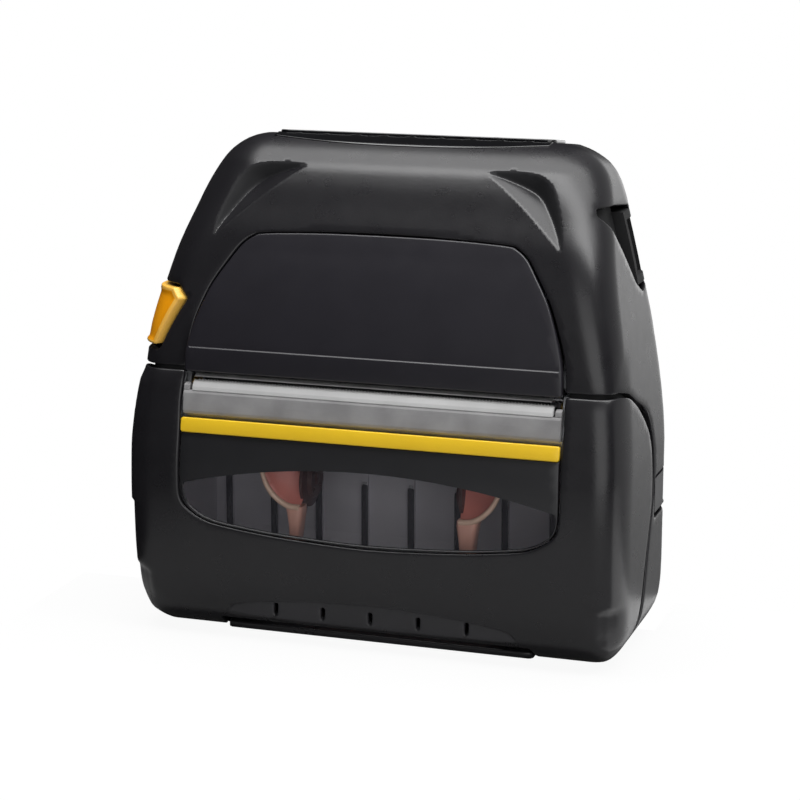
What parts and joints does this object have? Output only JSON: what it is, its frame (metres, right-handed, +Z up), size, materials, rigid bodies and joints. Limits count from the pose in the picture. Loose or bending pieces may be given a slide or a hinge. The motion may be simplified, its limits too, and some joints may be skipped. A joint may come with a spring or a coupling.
{
  "type": "label printer",
  "caption": "Rugged mobile label printer: upright black body, swing-down media door with clear window, yellow stripe and bright tear bar, amber side latch, keys and display on top.",
  "frame": {"origin": "on the resting surface, under the middle of the bounding box", "axes": "+X to the viewer's right, -Y out of the front (the media door), +Z up"},
  "size_m": [0.1592, 0.067, 0.1544],
  "materials": {
    "charcoal_shell": "fine textured moulded plastic",
    "cover_plastic": "satin black plastic",
    "gloss_black": "polished black panel",
    "key_rubber": "soft key",
    "lcd_glass": "clear lens",
    "lcd_grey": "grey display",
    "light_pipe": "green translucent",
    "circuit_board": "green solder mask",
    "shield_metal": "tinned shield",
    "bucket_grey": "grey moulded plastic",
    "frame_metal": "plated sheet steel",
    "steel": "ground steel",
    "spring_steel": "spring wire",
    "latch_yellow": "satin amber plastic",
    "heatsink": "extruded aluminium",
    "motor_metal": "black painted can",
    "brass": "turned brass",
    "gear_plastic": "natural acetal",
    "window_smoke": "clear window with a dark printed band",
    "stripe_yellow": "glossy yellow",
    "tear_steel": "brushed bright metal",
    "platen_rubber": "black rubber",
    "guide_copper": "copper coloured translucent plastic",
    "sensor_black": "black plastic",
    "battery_black": "fine textured black plastic",
    "contact_gold": "gold plated contact",
    "port_rubber": "black rubber flap",
    "socket_metal": "nickel plated",
    "screw_black": "black zinc screw"
  },
  "bodies": {
    "housing": {"main_housing": "charcoal_shell", "rear_housing": "charcoal_shell", "head_cover": "cover_plastic", "ui_panel": "gloss_black", "lcd_lens": "lcd_glass", "lcd_module": "lcd_grey", "status_light": "light_pipe", "keypad_board": "circuit_board", "main_board": "circuit_board", "radio_module": "shield_metal", "media_bucket": "bucket_grey", "chassis": "frame_metal", "latch_spring": "spring_steel", "head_springs": "spring_steel", "head_pivot_shaft": "steel", "drive_motor": "motor_metal", "gear_posts": "steel", "hinge_pins": "steel", "door_spring": "spring_steel", "media_sensor": "sensor_black", "battery_contacts": "contact_gold", "port_sockets": "socket_metal", "strap_lug_left": "charcoal_shell", "strap_lug_right": "charcoal_shell", "clip_insert": "brass", "dock_contacts": "contact_gold", "housing_screws": "screw_black"},
    "door": {"door_shell": "charcoal_shell", "door_frame": "frame_metal", "window_panel": "window_smoke", "accent_stripe": "stripe_yellow", "tear_bar": "tear_steel", "platen_bushings": "brass"},
    "platen": {"platen_roller": "platen_rubber", "platen_shaft": "steel", "platen_gear": "gear_plastic"},
    "idler": {"idler_gear": "gear_plastic"},
    "motor_rotor": {"motor_shaft": "steel", "motor_pinion": "brass"},
    "latch_button": {"latch_button": "latch_yellow"},
    "latch_shaft": {"latch_shaft": "steel"},
    "printhead": {"printhead": "heatsink"},
    "guide_left": {"guide_left": "guide_copper"},
    "guide_right": {"guide_right": "guide_copper"},
    "guide_hub_left": {"guide_hub_left": "guide_copper"},
    "guide_hub_right": {"guide_hub_right": "guide_copper"},
    "guide_pinion": {"guide_pinion": "gear_plastic"},
    "battery": {"battery_pack": "battery_black"},
    "battery_latch": {"battery_latch": "charcoal_shell"},
    "port_cover": {"port_cover": "port_rubber"},
    "soft_key_upper": {"soft_key_upper": "key_rubber"},
    "soft_key_lower": {"soft_key_lower": "key_rubber"},
    "feed_key": {"feed_key": "key_rubber"},
    "power_key": {"power_key": "key_rubber"},
    "nav_up_key": {"nav_up_key": "key_rubber"},
    "nav_down_key": {"nav_down_key": "key_rubber"},
    "nav_left_key": {"nav_left_key": "key_rubber"},
    "nav_right_key": {"nav_right_key": "key_rubber"},
    "nav_select_key": {"nav_select_key": "key_rubber"}
  },
  "joints": [
    {"name": "door_hinge", "type": "hinge", "parent": "housing", "child": "door", "pos_m": [0, -0.022, 0.01], "axis": [1, 0, 0], "range_deg": [0, 84]},
    {"name": "latch_press", "type": "slide", "parent": "housing", "child": "latch_button", "axis": [0.7071, 0.7071, 0], "range_m": [0, 0.0025], "stiffness_N_per_m": 500, "springref_m": -0.002, "deforming": ["latch_spring"]},
    {"name": "latch_turn", "type": "hinge", "parent": "housing", "child": "latch_shaft", "pos_m": [0, 0.0005, 0.078], "axis": [-1, 0, 0], "range_deg": [0, 14]},
    {"name": "head_rock", "type": "hinge", "parent": "housing", "child": "printhead", "pos_m": [0, -0.008, 0.088], "axis": [-1, 0, 0], "range_deg": [0, 3], "stiffness_Nm_per_rad": 0.6, "springref_deg": -5.73, "deforming": ["head_springs"]},
    {"name": "platen_spin", "type": "hinge", "parent": "door", "child": "platen", "pos_m": [0, -0.021, 0.0775], "axis": [1, 0, 0], "continuous": true},
    {"name": "idler_spin", "type": "hinge", "parent": "housing", "child": "idler", "pos_m": [0, -0.01052, 0.0915], "axis": [1, 0, 0], "continuous": true},
    {"name": "motor_spin", "type": "hinge", "parent": "housing", "child": "motor_rotor", "pos_m": [0, 0.00527, 0.09468], "axis": [1, 0, 0], "continuous": true},
    {"name": "guide_left_slide", "type": "slide", "parent": "housing", "child": "guide_left", "axis": [-1, 0, 0], "range_m": [-0.015, 0.027]},
    {"name": "guide_right_slide", "type": "slide", "parent": "housing", "child": "guide_right", "axis": [1, 0, 0], "range_m": [-0.015, 0.027]},
    {"name": "guide_pinion_turn", "type": "hinge", "parent": "housing", "child": "guide_pinion", "pos_m": [0, -0.003, 0.011], "axis": [0, 0, 1], "range_deg": [-323, 180]},
    {"name": "guide_hub_left_spin", "type": "hinge", "parent": "guide_left", "child": "guide_hub_left", "pos_m": [-0.028, -0.0095, 0.048], "axis": [1, 0, 0], "continuous": true},
    {"name": "guide_hub_right_spin", "type": "hinge", "parent": "guide_right", "child": "guide_hub_right", "pos_m": [0.028, -0.0095, 0.048], "axis": [1, 0, 0], "continuous": true},
    {"name": "battery_slide", "type": "slide", "parent": "housing", "child": "battery", "axis": [0, 1, 0], "range_m": [0, 0.02]},
    {"name": "battery_latch_slide", "type": "slide", "parent": "housing", "child": "battery_latch", "axis": [0, 0, 1], "range_m": [0, 0.0025], "stiffness_N_per_m": 300, "springref_m": -0.001},
    {"name": "port_cover_hinge", "type": "hinge", "parent": "housing", "child": "port_cover", "pos_m": [0.0782, 0.0205, 0.04], "axis": [0, 1, 0], "range_deg": [0, 100]},
    {"name": "soft_key_upper_press", "type": "slide", "parent": "housing", "child": "soft_key_upper", "axis": [0, -0.1323, -0.9912], "range_m": [0, 0.0006], "stiffness_N_per_m": 800, "springref_m": -0.0003},
    {"name": "soft_key_lower_press", "type": "slide", "parent": "housing", "child": "soft_key_lower", "axis": [0, -0.1323, -0.9912], "range_m": [0, 0.0006], "stiffness_N_per_m": 800, "springref_m": -0.0003},
    {"name": "feed_key_press", "type": "slide", "parent": "housing", "child": "feed_key", "axis": [0, -0.1323, -0.9912], "range_m": [0, 0.0006], "stiffness_N_per_m": 800, "springref_m": -0.0003},
    {"name": "power_key_press", "type": "slide", "parent": "housing", "child": "power_key", "axis": [0, -0.1323, -0.9912], "range_m": [0, 0.0006], "stiffness_N_per_m": 800, "springref_m": -0.0003},
    {"name": "nav_up_key_press", "type": "slide", "parent": "housing", "child": "nav_up_key", "axis": [0, -0.1323, -0.9912], "range_m": [0, 0.0006], "stiffness_N_per_m": 800, "springref_m": -0.0003},
    {"name": "nav_down_key_press", "type": "slide", "parent": "housing", "child": "nav_down_key", "axis": [0, -0.1323, -0.9912], "range_m": [0, 0.0006], "stiffness_N_per_m": 800, "springref_m": -0.0003},
    {"name": "nav_left_key_press", "type": "slide", "parent": "housing", "child": "nav_left_key", "axis": [0, -0.1323, -0.9912], "range_m": [0, 0.0006], "stiffness_N_per_m": 800, "springref_m": -0.0003},
    {"name": "nav_right_key_press", "type": "slide", "parent": "housing", "child": "nav_right_key", "axis": [0, -0.1323, -0.9912], "range_m": [0, 0.0006], "stiffness_N_per_m": 800, "springref_m": -0.0003},
    {"name": "nav_select_key_press", "type": "slide", "parent": "housing", "child": "nav_select_key", "axis": [0, -0.1323, -0.9912], "range_m": [0, 0.0006], "stiffness_N_per_m": 800, "springref_m": -0.0003}
  ],
  "couplings": [
    {"joint": "latch_turn", "follows": "latch_press", "rad_per_m": 97.7},
    {"joint": "idler_spin", "follows": "platen_spin", "ratio": -0.47059},
    {"joint": "motor_spin", "follows": "platen_spin", "ratio": 1.3333},
    {"joint": "guide_right_slide", "follows": "guide_left_slide", "ratio": 1},
    {"joint": "guide_pinion_turn", "follows": "guide_left_slide", "rad_per_m": -208.33}
  ]
}
